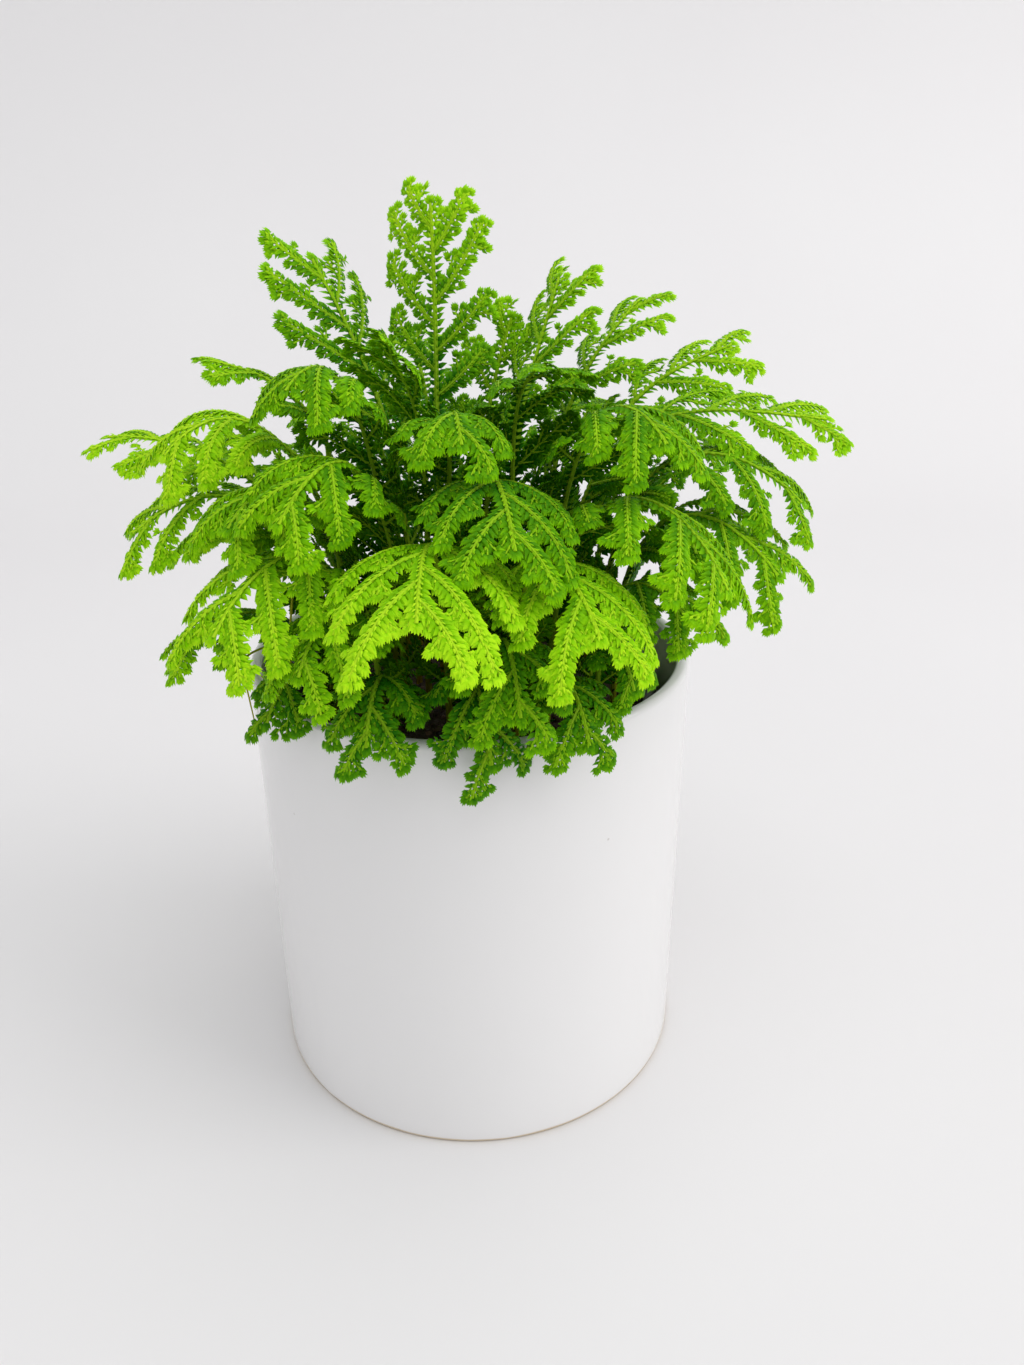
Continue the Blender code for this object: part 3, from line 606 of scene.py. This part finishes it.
# Painted light and shade: how much lighter or darker than the rest some fronds are made, for the light that falls on
# them
PAINTED_FROND_LIGHT_AND_SHADE = {
    "frond_bright_front": 0.13, "frond_bright_left": 0.19, "frond_bright_front_right": 0.11, "frond_broad_left": 0.12,
    "frond_left": 0.07, "frond_far_left": 0.06, "frond_broad_right": -0.02, "frond_far_right": 0.0,
    "frond_tip_right": -0.04, "frond_right": -0.07, "frond_back_5": -0.12, "frond_inner_left": 0.04,
    "frond_blue_front": -0.08, "frond_forked": -0.05, "frond_mid_right": -0.04, "frond_fan_left": -0.13,
    "frond_rim_left": 0.0, "frond_crown": -0.03,
}
# Painted shade on the low fronds over the front rim
RIM_FRONT_PAINTED_SHADE = -0.09


def tints_of(name, points, facts):
    """Lightness, paleness and brownness of each point.

    Young tips are light. The plant's outside gets painted light, and its inside and the foot of each side leaf get
    painted shade; some fronds get painted light and others painted shade. A slow wave in space, sin x sin y sin z,
    makes patches.
    """
    sort, age, place, luck = facts.T
    # Painted shade inside the plant and painted light on its outside, by the distance from its middle
    depth = np.linalg.norm((points - PLANT_MIDDLE) / PLANT_REACH, axis=1)
    painted_outer_light = np.clip((depth - 0.45) / 0.6, 0, 1)
    # Painted shade at the foot of each side leaf, where the leaves overlap
    foot = (1 - place) * (sort == SIDE_LEAF)
    # Painted shade on the low front rim fronds, painted light and shade on the listed fronds, a random tone on the rest
    low = RIM_FRONT_PAINTED_SHADE if "rim_front" in name else 0.0
    tone = PAINTED_FROND_LIGHT_AND_SHADE.get(name, low + random.Random("tone " + name).uniform(-0.06, 0.05))
    patch = 0.07 * np.prod(np.sin(points * (0.35, 0.31, 0.33) + (1, 0, 2)), axis=1)
    # The lightness holds the painted light and shade as well as the light young tips, the patches and each leaf's luck
    light = 0.15 + 0.44 * painted_outer_light + 0.42 * (1 - age) - 0.36 * foot + patch + tone + 0.07 * luck
    pale = np.select((sort == BARE_RIB, sort == MIDDLE_LEAF), (0.50, 0.22), 0.0)
    brown = np.where(sort == BARE_RIB, 0.8, 0.25) * np.clip((age - 0.8) / 0.2, 0, 1)
    return np.stack((np.clip(light, 0, 1), pale, brown), 1)


print("the crown on average:", tints_of("frond_crown", crown_points, crown_facts).mean(axis=0).round(2))

# %% Put points, faces and their facts into Blender
def new_object(name, data):
    """An object in the scene, for a mesh, a lamp or a camera."""
    made = bpy.data.objects.new(name, data)
    bpy.context.scene.collection.objects.link(made)
    return made


def new_mesh(name, points, faces, smooth=False):
    """A mesh object from an array of points in metres and a list of faces."""
    mesh = bpy.data.meshes.new(name)
    mesh.from_pydata(points.tolist(), [], faces)
    if smooth:
        mesh.shade_smooth()
    return new_object(name, mesh)


def keep_facts(piece, name, facts):
    """Three numbers a point, as a colour attribute that a material reads."""
    layer = piece.data.color_attributes.new(name, "FLOAT_COLOR", "POINT")
    values = np.ones((len(facts), 4), np.float32)
    values[:, :3] = facts
    layer.data.foreach_set("color", values.ravel())


# %% Grow each frond and replace its plain blade
fronds = {}
total = 0
for name, row in FRONDS.items():
    points, faces, facts = grow_frond(name, row)
    tints = tints_of(name, points, facts)
    if name == "frond_rim_left":
        for line, radius in ROOTS:
            more, corners = root_thread(line, radius)
            faces = np.concatenate((faces, corners + len(points)))
            points = np.concatenate((points, more))
            tints = np.concatenate((tints, np.tile(ROOT_TINT, (len(more), 1))))
    piece = new_mesh(f"{name}_leafy", points * MM, faces.tolist())
    keep_facts(piece, "leaf_facts", tints)
    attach(piece, "root")
    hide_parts(name)
    fronds[name] = piece
    total += len(faces)
print("fronds grown:", len(fronds), "triangles:", total)

# %% [markdown]
# ## Shades of green
#
# Young tips are a bright yellow green, the inside is the deep green of painted shade, ribs are paler and old stems
# brown. Each frond could have its own material. Here a node group turns the three numbers into a colour, and one
# material serves them all. Materials are built from a few kinds of node, so small helpers add them.

# %% Node helpers
def add_node(tree, kind, **settings):
    """A node with its settings."""
    node = tree.nodes.new(kind)
    for key, value in settings.items():
        setattr(node, key, value)
    return node


def ramp(tree, stops):
    """A colour ramp from (place, (r, g, b)) stops."""
    node = tree.nodes.new("ShaderNodeValToRGB")
    while len(node.color_ramp.elements) < len(stops):
        node.color_ramp.elements.new(0.5)
    for element, (place, colour) in zip(node.color_ramp.elements, stops):
        element.position = place
        element.color = (*colour, 1)
    return node


def mixed(tree, amount, first, second, blend="MIX"):
    """Mixes two colours by an amount; each of the three may be a value or a socket."""
    node = add_node(tree, "ShaderNodeMix", data_type="RGBA", blend_type=blend)
    for socket, value in ((node.inputs[0], amount), (node.inputs[6], first), (node.inputs[7], second)):
        if isinstance(value, bpy.types.NodeSocket):
            tree.links.new(value, socket)
        elif isinstance(value, tuple):
            socket.default_value = (*value, 1)
        else:
            socket.default_value = value
    return node.outputs[2]


def ranged(tree, value, low, high, to_low, to_high, kind="LINEAR"):
    """Maps a value from one range to another, and keeps it there."""
    node = add_node(tree, "ShaderNodeMapRange", interpolation_type=kind)
    for socket, number in zip(node.inputs[1:5], (low, high, to_low, to_high)):
        socket.default_value = number
    tree.links.new(value, node.inputs[0])
    return node.outputs[0]


def noise(tree, place, scale):
    """The value of a noise on the piece's own coordinates."""
    node = add_node(tree, "ShaderNodeTexNoise")
    node.inputs["Scale"].default_value = scale
    tree.links.new(place, node.inputs["Vector"])
    return node.outputs["Fac"]


def new_material(name, roughness):
    """A material with its tree, its Principled shader and the Object coordinates."""
    made = bpy.data.materials.new(name)
    made.use_nodes = True
    tree = made.node_tree
    shader = tree.nodes["Principled BSDF"]
    shader.inputs["Roughness"].default_value = roughness
    return made, tree, shader, tree.nodes.new("ShaderNodeTexCoord").outputs["Object"]


print("node groups so far:", len(bpy.data.node_groups))

# %% The group that colours leaves
greens = bpy.data.node_groups.new("spikemoss greens", "ShaderNodeTree")
greens.interface.new_socket("Facts", in_out="INPUT", socket_type="NodeSocketColor")
greens.interface.new_socket("Color", in_out="OUTPUT", socket_type="NodeSocketColor")
group_in = greens.nodes.new("NodeGroupInput")
group_out = greens.nodes.new("NodeGroupOutput")
split = greens.nodes.new("ShaderNodeSeparateColor")
greens.links.new(group_in.outputs["Facts"], split.inputs[0])
# The lightness runs from the deepest painted shade at 0 to the young tips and painted light at 1
shades = ramp(greens, [
    (0.0, (0.004, 0.060, 0.001)),
    (0.25, (0.018, 0.138, 0.001)),
    (0.5, (0.088, 0.290, 0.0005)),
    (0.75, (0.230, 0.560, 0.001)),
    (1.0, (0.470, 0.830, 0.012)),
])
greens.links.new(split.outputs[0], shades.inputs[0])
pale_green = mixed(greens, split.outputs[1], shades.outputs[0], (0.36, 0.52, 0.02))
browned = mixed(greens, split.outputs[2], pale_green, (0.30, 0.13, 0.012))
greens.links.new(browned, group_out.inputs["Color"])
print("greens ready:", len(greens.nodes), "nodes")

# %% The leaf's material
leaf_look, tree, shader, place = new_material("spikemoss leaf", 0.45)
facts_node = add_node(tree, "ShaderNodeAttribute", attribute_name="leaf_facts")
colour = add_node(tree, "ShaderNodeGroup", node_tree=greens)
tree.links.new(facts_node.outputs["Color"], colour.inputs["Facts"])
mottled = mixed(tree, 0.2, colour.outputs["Color"], noise(tree, place, 900), "OVERLAY")
tree.links.new(mottled, shader.inputs["Base Color"])
shader.inputs["IOR"].default_value = 1.25
shader.inputs["Specular IOR Level"].default_value = 0.15
for piece in fronds.values():
    piece.data.materials.append(leaf_look)
print("leaf material on", len(fronds), "pieces")

# %% [markdown]
# ## A fine grain
#
# No other surface is perfectly smooth: the glaze ripples a little, the plastic is matt and the soil is rough. Each
# could have its own nodes, but it is one effect in three sizes, so it is a group, built once. A material gives it a
# scale and a depth, and gets back the noise's value and a normal.

# %% The group that roughens a surface
grain = bpy.data.node_groups.new("fine grain", "ShaderNodeTree")
grain.interface.new_socket("Place", in_out="INPUT", socket_type="NodeSocketVector")
for name in ("Scale", "Detail", "Strength", "Distance"):
    grain.interface.new_socket(name, in_out="INPUT", socket_type="NodeSocketFloat")
grain.interface.new_socket("Value", in_out="OUTPUT", socket_type="NodeSocketFloat")
grain.interface.new_socket("Normal", in_out="OUTPUT", socket_type="NodeSocketVector")
group_in = grain.nodes.new("NodeGroupInput")
group_out = grain.nodes.new("NodeGroupOutput")
speckle = grain.nodes.new("ShaderNodeTexNoise")
raised = grain.nodes.new("ShaderNodeBump")
for start, end in (("Place", speckle.inputs["Vector"]), ("Scale", speckle.inputs["Scale"]),
                   ("Detail", speckle.inputs["Detail"]), ("Strength", raised.inputs["Strength"]),
                   ("Distance", raised.inputs["Distance"])):
    grain.links.new(group_in.outputs[start], end)
grain.links.new(speckle.outputs["Fac"], raised.inputs["Height"])
grain.links.new(speckle.outputs["Fac"], group_out.inputs["Value"])
grain.links.new(raised.outputs["Normal"], group_out.inputs["Normal"])


def roughened(tree, shader, place, scale, detail, strength, distance):
    """Puts the grain on a shader's normal and returns its value."""
    node = add_node(tree, "ShaderNodeGroup", node_tree=grain)
    for name, number in (("Scale", scale), ("Detail", detail), ("Strength", strength), ("Distance", distance)):
        node.inputs[name].default_value = number
    tree.links.new(place, node.inputs["Place"])
    tree.links.new(node.outputs["Normal"], shader.inputs["Normal"])
    return node.outputs["Value"]


print("grain ready:", len(grain.nodes), "nodes")

# %% [markdown]
# ## The glazed pot
#
# The real pot is thrown or cast and has a soft lip, a smooth white glaze and a thin bare line at its foot. A cylinder
# with a bevel would be near it. A profile that is turned about the upright axis gives the wall, the round lip and the
# inside in one go.

# %% Turn a profile about the upright axis
def ring_faces(rings, around):
    """Quads between rings of points, one ring after another, and a fan to one point more at each end."""
    k = np.arange(around)
    after = (k + 1) % around
    start = (np.arange(rings - 1) * around)[:, None]
    quads = np.stack((start + k, start + around + k, start + around + after, start + after), 2).reshape(-1, 4)
    last, first_end = (rings - 1) * around, rings * around
    fans = (np.stack((k, after, np.full(around, first_end)), 1),
            np.stack((last + after, last + k, np.full(around, first_end + 1)), 1))
    return quads.tolist() + np.concatenate(fans).tolist()


def turned(name, profile, segments):
    """A smooth body of revolution: (r cos a, r sin a, z) for each (r, z) of a profile, first and last on the axis."""
    profile = np.array(profile)
    angle = 2 * np.pi * np.arange(segments) / segments
    rings = profile[1:-1]
    points = np.stack((
        rings[:, :1] * np.cos(angle), rings[:, :1] * np.sin(angle), np.repeat(rings[:, 1:], segments, 1),
    ), 2).reshape(-1, 3)
    points = np.concatenate((points, [(0, 0, profile[0, 1]), (0, 0, profile[-1, 1])]))
    made = new_mesh(name, points, ring_faces(len(rings), segments), smooth=True)
    made.data.set_sharp_from_angle(angle=math.radians(50))
    return made


def arc(middle_x, middle_y, radius, begin, end, steps):
    """Points on a circle's arc, by angle in degrees."""
    angle = np.radians(np.linspace(begin, end, steps + 1))
    return [(middle_x + radius * math.cos(a), middle_y + radius * math.sin(a)) for a in angle]


print("points on half a circle in 16 steps:", len(arc(0, 0, 1, 180, 0, 16)))

# %% The pot's wall, lip and foot
POT_RADIUS, POT_HEIGHT, POT_WALL, POT_FLOOR, LIP, FOOT = 60 * MM, 123 * MM, 3.6 * MM, 8 * MM, 1.8 * MM, 1.0 * MM
inner = POT_RADIUS - POT_WALL
profile = [(0, POT_FLOOR), (inner - 20 * MM, POT_FLOOR), (inner - 2 * MM, POT_FLOOR)]
profile += arc(inner - 2 * MM, POT_FLOOR + 2 * MM, 2 * MM, -90, 0, 5)[1:]
profile += [(inner, z * MM) for z in np.linspace(20, 118, 8)]
profile += arc(POT_RADIUS - LIP, POT_HEIGHT - LIP, LIP, 180, 0, 16)
profile += [(POT_RADIUS, z * MM) for z in np.linspace(116, 4, 12)]
profile += arc(POT_RADIUS - FOOT, FOOT, FOOT, 0, -90, 6)
profile += [(POT_RADIUS - 9 * MM, 0), (0, 0)]
pot = turned("pot_glazed", profile, 180)
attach(pot, "root")
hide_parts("pot")
print("pot:", len(pot.data.polygons), "faces")

# %% [markdown]
# ## The glaze
#
# White glaze is never one flat white: it is a little cloudy and has a few specks, and it is wiped off the foot before
# firing, which leaves a tan line. Noise on the Object coordinates gives the clouds, a Voronoi pattern the specks, and
# the height above the floor the bare line.

# %% The glaze, its bare foot line and its few specks
GLOSS, BARE_ROUGHNESS = 0.14, 0.85
BARE_FROM, BARE_TO, BARE_WAVE = 0.0013, 0.0019, 0.0009  # heights in metres
glaze, tree, shader, place = new_material("white glaze", GLOSS)
axes = add_node(tree, "ShaderNodeSeparateXYZ")
tree.links.new(place, axes.inputs[0])
edge = add_node(tree, "ShaderNodeMath", operation="MULTIPLY_ADD")
edge.inputs[1].default_value = BARE_WAVE
tree.links.new(noise(tree, place, 60), edge.inputs[0])
tree.links.new(axes.outputs["Z"], edge.inputs[2])
bare = ranged(tree, edge.outputs[0], BARE_FROM, BARE_TO, 1.0, 0.0, "SMOOTHSTEP")
speck = add_node(tree, "ShaderNodeTexVoronoi")
speck.inputs["Scale"].default_value = 46
tree.links.new(place, speck.inputs["Vector"])
few = ranged(tree, speck.outputs["Distance"], 0.010, 0.022, 0.5, 0.0)
white = mixed(tree, noise(tree, place, 14), (0.815, 0.805, 0.80), (0.85, 0.84, 0.835))
specked = mixed(tree, few, white, (0.50, 0.46, 0.42))
tree.links.new(mixed(tree, bare, specked, (0.60, 0.50, 0.36)), shader.inputs["Base Color"])
tree.links.new(ranged(tree, bare, 0.0, 1.0, GLOSS, BARE_ROUGHNESS), shader.inputs["Roughness"])
roughened(tree, shader, place, 90, 2, 0.05, 0.0004)
pot.data.materials.append(glaze)
print("glaze ready:", len(tree.nodes), "nodes")

# %% [markdown]
# ## The nursery pot
#
# Inside stands the thin black plastic pot that the plant was sold in, tapered, with a narrow collar. It is turned in
# the same way. Its plastic is dull and dusty: two blacks mixed by a noise, with the grain at its finest.

# %% Its wall and collar
foot_z = POT_FLOOR + 0.3 * MM
top_z = 113 * MM


def nursery_radius(z):
    """Outer radius: it grows evenly from 40 mm at the foot to 50 mm at the top."""
    return 40 * MM + 10 * MM * (z - foot_z) / (top_z - foot_z)


wall = 1.2 * MM
collar = 51.5 * MM
under = top_z - 4 * MM
profile = [(0, foot_z + wall), (nursery_radius(foot_z + wall) - wall, foot_z + wall)]
profile += [(nursery_radius(z) - wall, z) for z in np.linspace(20, 108, 6) * MM]
profile += [(50 * MM - wall, top_z - 0.5 * MM), (50 * MM - wall + 0.5 * MM, top_z), (collar - 0.6 * MM, top_z)]
profile += [(collar, top_z - 0.6 * MM), (collar, under + 0.4 * MM), (collar - 0.4 * MM, under)]
profile += [(nursery_radius(z), z) for z in (under, *np.linspace(100, 12, 6) * MM, foot_z)]
profile += [(0, foot_z)]
nursery = turned("nursery_pot_black", profile, 120)
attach(nursery, "root")
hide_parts("nursery_pot")
print("nursery pot:", len(nursery.data.polygons), "faces")

# %% Its plastic
plastic, tree, shader, place = new_material("black nursery plastic", 0.55)
dusty = mixed(tree, noise(tree, place, 70), (0.012, 0.012, 0.013), (0.05, 0.05, 0.048))
tree.links.new(dusty, shader.inputs["Base Color"])
roughened(tree, shader, place, 1400, 2, 0.25, 0.0002)
nursery.data.materials.append(plastic)
print("plastic ready:", len(tree.nodes), "nodes")

# %% [markdown]
# ## The soil
#
# Potting soil is a low mound of dark peat with loose crumbs of bark. A displacement in the material would look alike
# from afar but leave the mesh flat, so the lumps are a sum of waves in the mesh itself, and the crumbs are rough
# little balls of twenty faces.

# %% The lumpy mound
SOIL_RIM, SOIL_MOUND, SOIL_LOW = 106.5, 3.0, 9.8
SUNK = 0.6  # how far the lumps lie under the plain mound, so that they hardly stand above it


def soil_reach(z):
    """The soil's radius in mm at a height in mm: the nursery pot's wall less its clearance."""
    return nursery_radius(z * MM) / MM - 1.5


def mound(radius):
    """The soil's height in mm: rim + 3 (1 - (radius / rim radius)^2)."""
    return SOIL_RIM + SOIL_MOUND * (1 - (radius / soil_reach(SOIL_RIM)) ** 2)


def lumps(x, y):
    """Fourteen waves turned by 2.4 radians each, of falling length and height: a sin(2 pi (x cos b + y sin b) / p)."""
    height = np.zeros_like(x)
    for i in range(14):
        turn = i * 2.4
        pitch = 7.5 * 0.82**i
        height += 0.30 * 0.86**i * np.sin((x * math.cos(turn) + y * math.sin(turn)) * 2 * np.pi / pitch + i * i)
    return height


rings, around = 48, 180
reach = soil_reach(SOIL_RIM) - 0.1
radius = np.repeat((*np.linspace(0.4, reach, rings), soil_reach(SOIL_LOW)), around)
angle = np.tile(2 * np.pi * np.arange(around) / around, rings + 1)
x, y = radius * np.cos(angle), radius * np.sin(angle)
z = mound(radius) + lumps(x, y) * np.clip((reach - radius) / 2, 0, 1) - SUNK
z[-around:] = SOIL_LOW
ends = (0, 0, mound(0) - SUNK), (0, 0, SOIL_LOW)
soil_points = np.concatenate((np.stack((x, y, z), 1), ends))
soil_faces = ring_faces(rings + 1, around)
print("mound:", len(soil_faces), "faces")

# %% Crumbs on it
draw = np.random.default_rng(11)
g = (1 + 5**0.5) / 2  # the golden ratio, which gives the twelve corners of a ball of twenty faces
ball = np.array([(-1, g, 0), (1, g, 0), (-1, -g, 0), (1, -g, 0), (0, -1, g), (0, 1, g),
                 (0, -1, -g), (0, 1, -g), (g, 0, -1), (g, 0, 1), (-g, 0, -1), (-g, 0, 1)])
ball /= np.linalg.norm(ball[0])
ball_faces = np.array([(0, 11, 5), (0, 5, 1), (0, 1, 7), (0, 7, 10), (0, 10, 11), (1, 5, 9), (5, 11, 4), (11, 10, 2),
                       (10, 7, 6), (7, 1, 8), (3, 9, 4), (3, 4, 2), (3, 2, 6), (3, 6, 8), (3, 8, 9), (4, 9, 5),
                       (2, 4, 11), (6, 2, 10), (8, 6, 7), (9, 8, 1)])
crumbs = 1500
size = draw.uniform(0.35, 1.3, crumbs)
far = (reach - 1.6) * np.sqrt(draw.uniform(0, 1, crumbs))
turn = draw.uniform(0, 2 * np.pi, crumbs)
middle = np.stack((far * np.cos(turn), far * np.sin(turn), mound(far) - 0.55), 1)
stretch = draw.uniform(0.6, 1.3, (crumbs, 1, 3)) * np.array((1, 1, 0.7))
rough_ball = ball[None] * draw.uniform(0.75, 1.2, (crumbs, 12, 1)) * stretch * size[:, None, None]
crumb_points = (middle[:, None] + rough_ball).reshape(-1, 3)
crumb_faces = (ball_faces[None] + (np.arange(crumbs) * 12)[:, None, None] + len(soil_points)).reshape(-1, 3)
tone = np.concatenate((np.full(len(soil_points), 0.25), np.repeat(draw.uniform(0, 1, crumbs) ** 2, 12)))
points = np.concatenate((soil_points, crumb_points)) * MM
soil = new_mesh("soil_crumbly", points, soil_faces + crumb_faces.tolist())
keep_facts(soil, "soil_tone", np.repeat(tone[:, None], 3, 1))
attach(soil, "root")
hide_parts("soil")
print("soil:", len(soil.data.polygons), "faces")

# %% Peat and bark
earth, tree, shader, place = new_material("dark potting soil", 0.92)
tone_node = add_node(tree, "ShaderNodeAttribute", attribute_name="soil_tone")
damp = roughened(tree, shader, place, 380, 4, 0.7, 0.0006)
peat = mixed(tree, damp, (0.006, 0.004, 0.003), (0.026, 0.017, 0.010))
tree.links.new(mixed(tree, tone_node.outputs["Fac"], peat, (0.12, 0.07, 0.035)), shader.inputs["Base Color"])
soil.data.materials.append(earth)
print("soil material ready:", len(tree.nodes), "nodes")

# %% [markdown]
# ## Floor and light
#
# The photograph shows the pot on a white sweep, in soft light from the right. A flat plane would end in a horizon, so
# a profile that runs flat and then bends up is drawn out sideways. One large lamp stands for the window, one over the
# plant for the ceiling, and a pale world fills the shadows.

# %% The white sweep
bend_from, bend_radius, half_wide = 0.55, 0.5, 3.0
line = [(-1.6, 0.0), (0.0, 0.0), (bend_from, 0.0)]
for a in np.linspace(0.08, math.pi / 2, 20):
    line.append((bend_from + bend_radius * math.sin(a), bend_radius * (1 - math.cos(a))))
line += [(bend_from + bend_radius, 2.6)]
points = np.array([(side * half_wide, y, z) for y, z in line for side in (-1, 1)])
faces = [(2 * i, 2 * i + 1, 2 * i + 3, 2 * i + 2) for i in range(len(line) - 1)]
sweep = new_mesh("sweep", points, faces, smooth=True)
paper, tree, shader, place = new_material("white sweep", 0.6)
hazy = mixed(tree, noise(tree, place, 3), (0.755, 0.740, 0.744), (0.785, 0.777, 0.775))
tree.links.new(hazy, shader.inputs["Base Color"])
sweep.data.materials.append(paper)
print("sweep:", len(sweep.data.polygons), "faces")

# %% Lights
def area_light(name, place, aim, size, power, colour):
    """A square soft light that looks from one point at another."""
    lamp = bpy.data.lights.new(name, "AREA")
    lamp.size = size
    lamp.energy = power
    lamp.color = colour
    made = new_object(name, lamp)
    made.location = place
    made.rotation_euler = (Vector(aim) - Vector(place)).to_track_quat("-Z", "Y").to_euler()


area_light("window right", (2.3, -0.7, 1.7), (0, 0, 0.12), 1.7, 25.0, (1.0, 0.985, 0.98))
area_light("soft top", (0.3, -0.6, 2.7), (0, 0, 0.1), 2.4, 24.0, (1, 1, 1))
world = bpy.data.worlds.new("soft white room")
world.use_nodes = True
background = world.node_tree.nodes["Background"]
background.inputs["Color"].default_value = (0.97, 0.98, 1.0, 1)
background.inputs["Strength"].default_value = 0.69
bpy.context.scene.world = world
bpy.context.scene.view_settings.view_transform = "Standard"
bpy.context.scene.view_settings.look = "None"
print("lights:", len(bpy.data.lights))

# %% [markdown]
# ## The camera
#
# It stands where the photograph's did. It could be moved by hand until the pot's rim and foot fall in place. Numbers
# fitted to the pot's outline are closer, so a place, three directions and a lens are given.

# %% Place it and set its lens
PHOTO_HEIGHT, FOCAL_LENGTH = 1365, 1028.9  # in the photograph's pixels
right, up = Vector((0.99890, -0.04633, -0.00739)), Vector((0.02587, 0.41254, 0.91057))
ahead = Vector((0.03914, 0.90976, -0.41329))
lens = bpy.data.cameras.new("camera")
lens.sensor_width = 36
lens.lens = FOCAL_LENGTH / PHOTO_HEIGHT * lens.sensor_width
lens.clip_start = 0.01
camera = new_object("camera", lens)
facing = Matrix((right, up, -ahead)).transposed()
camera.matrix_world = Matrix.Translation((0, -0.26478, 0.23110)) @ facing.to_4x4()
bpy.context.scene.camera = camera
print("camera stands", round(camera.matrix_world.translation.length * 1000), "mm from the pot's foot")
